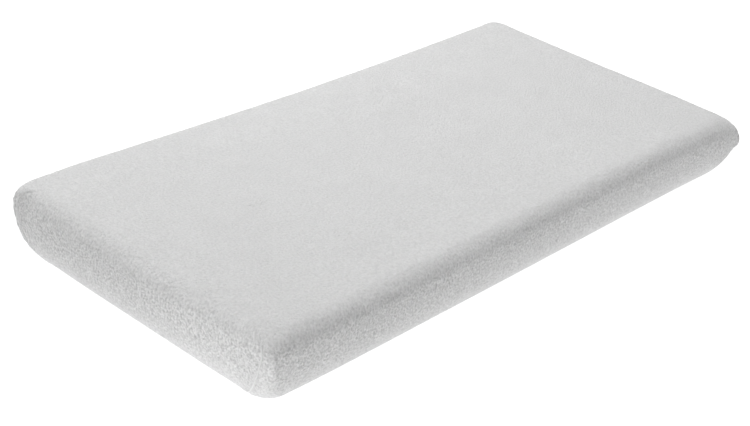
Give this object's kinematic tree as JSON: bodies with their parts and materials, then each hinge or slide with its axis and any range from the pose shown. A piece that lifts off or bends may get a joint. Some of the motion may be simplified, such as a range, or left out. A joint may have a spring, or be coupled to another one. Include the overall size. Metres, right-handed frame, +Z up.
{
  "type": "changing pad",
  "caption": "Flat rectangular baby changing pad: a foam slab in a zipped waterproof liner, inside a plush fitted cover with an elastic hem underneath.",
  "frame": {"origin": "middle of the underside, on the surface that the pad lies on", "axes": "+X along the long side, +Y across the pad towards its rear side, +Z up"},
  "size_m": [0.812, 0.388, 0.094],
  "materials": {
    "plush": "short dense pile, matt",
    "seam_thread": "rolled seam, matt",
    "liner": "coated cloth, slight sheen",
    "foam": "open-cell foam",
    "webbing": "woven tape",
    "zip_coil": "moulded nylon",
    "zip_metal": "die-cast, satin"
  },
  "bodies": {
    "pad": {"foam_core": "foam", "liner_top_panel": "liner", "liner_side_band": "liner", "liner_bottom_front": "liner", "liner_bottom_rear": "liner", "zip_tape_front": "webbing", "zip_tape_rear": "webbing", "zip_coil_front": "zip_coil", "zip_coil_rear": "zip_coil", "zip_closed_end_stop": "zip_metal", "zip_open_end_stop": "zip_metal", "fitted_cover": "plush", "corner_seam_front_left": "seam_thread", "corner_seam_front_right": "seam_thread", "corner_seam_rear_left": "seam_thread", "corner_seam_rear_right": "seam_thread", "hem_casing": "plush", "hem_elastic": "webbing", "care_label": "webbing"},
    "slider": {"zip_slider": "zip_metal"},
    "pull": {"zip_pull": "zip_metal"}
  },
  "joints": [
    {"name": "zip_slide", "type": "slide", "parent": "pad", "child": "slider", "axis": [-1, 0, 0], "range_m": [0, 0.54]},
    {"name": "pull_hinge", "type": "hinge", "parent": "slider", "child": "pull", "pos_m": [0.27, 0.04, 0.0025], "axis": [0, -1, 0], "range_deg": [0, 175]}
  ]
}
